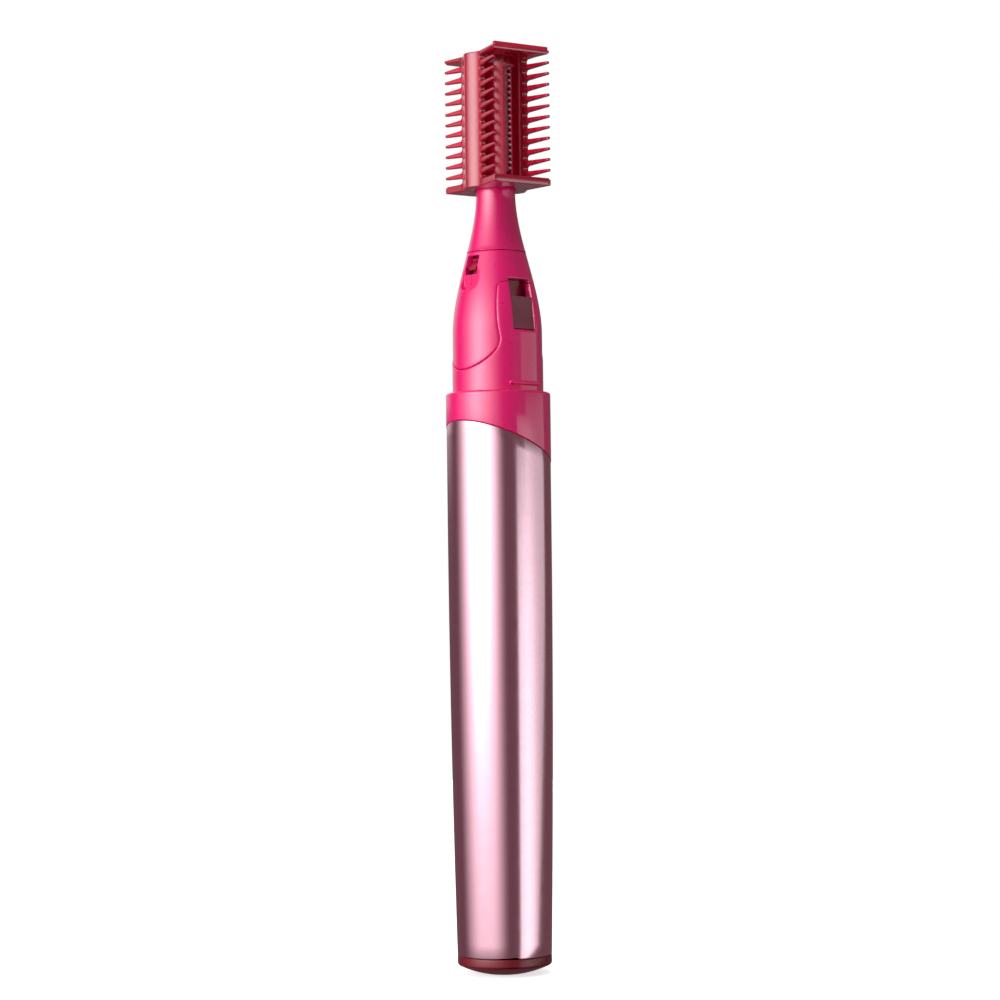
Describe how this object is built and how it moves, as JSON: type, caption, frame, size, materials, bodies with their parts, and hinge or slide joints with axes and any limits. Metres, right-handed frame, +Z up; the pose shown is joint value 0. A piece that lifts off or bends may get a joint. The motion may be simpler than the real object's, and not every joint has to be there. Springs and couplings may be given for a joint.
{
  "type": "battery hair trimmer",
  "caption": "Slim wand-shaped battery trimmer for fine facial and nose hair with a double-sided clip-on guide comb, slide switch and pull-off battery cover.",
  "frame": {"origin": "centre of the flat that the end cap stands on", "axes": "+Z up along the body to the comb, -Y to the front with the latch window, +X to the side with the slide switch"},
  "size_m": [0.0164, 0.016, 0.1406],
  "materials": {
    "pink_plastic": "polished magenta-pink moulded plastic",
    "wine_plastic": "polished translucent wine-red plastic",
    "metallic_pink": "satin metallic pink with fine flake",
    "dark_plastic": "fine matt moulded",
    "white_plastic": "natural acetal",
    "seal_rubber": "matt rubber",
    "steel": "ground and brushed",
    "brass": "stamped strip",
    "copper": "enamelled copper winding",
    "magnet": "sintered ferrite",
    "cell_wrap": "printed foil wrap, no lettering"
  },
  "bodies": {
    "chassis": {"inner_chassis": "dark_plastic", "collar_ring": "pink_plastic", "seal_ring": "seal_rubber", "negative_spring": "steel", "contact_strip": "brass", "battery_cell": "cell_wrap", "positive_contact": "brass", "motor_can": "steel", "motor_magnets": "magnet", "motor_end_bell": "white_plastic", "motor_terminals": "brass", "drive_frame": "wine_plastic", "rod_guide": "brass", "neck_base": "pink_plastic", "neck_cover": "pink_plastic", "head_cone": "pink_plastic", "switch_contacts": "brass", "blade_holder": "pink_plastic", "blade_clamp": "pink_plastic", "fixed_blade": "steel", "blade_spring": "steel", "blade_screws": "steel"},
    "rotor": {"motor_shaft": "steel", "motor_armature": "copper", "cam_drum": "white_plastic"},
    "drive": {"drive_rod": "white_plastic", "moving_blade": "steel"},
    "switch": {"switch_knob": "wine_plastic", "switch_wiper": "brass"},
    "battery_cover": {"barrel_sleeve": "metallic_pink", "sleeve_liner": "dark_plastic", "end_cap": "wine_plastic"},
    "comb": {"guide_comb": "wine_plastic"}
  },
  "joints": [
    {"name": "rotor_spin", "type": "hinge", "parent": "chassis", "child": "rotor", "pos_m": [0, 0, 0.08], "axis": [0, 0, 1], "continuous": true},
    {"name": "blade_stroke", "type": "slide", "parent": "chassis", "child": "drive", "axis": [0, 0, 1], "range_m": [-0.0005, 0.0005]},
    {"name": "switch_slide", "type": "slide", "parent": "chassis", "child": "switch", "axis": [0, 0, 1], "range_m": [0, 0.0025]},
    {"name": "battery_cover_slide", "type": "slide", "parent": "chassis", "child": "battery_cover", "axis": [0, 0, -1], "range_m": [0, 0.085]},
    {"name": "comb_slide", "type": "slide", "parent": "chassis", "child": "comb", "axis": [0, 0, 1], "range_m": [0, 0.026]}
  ]
}
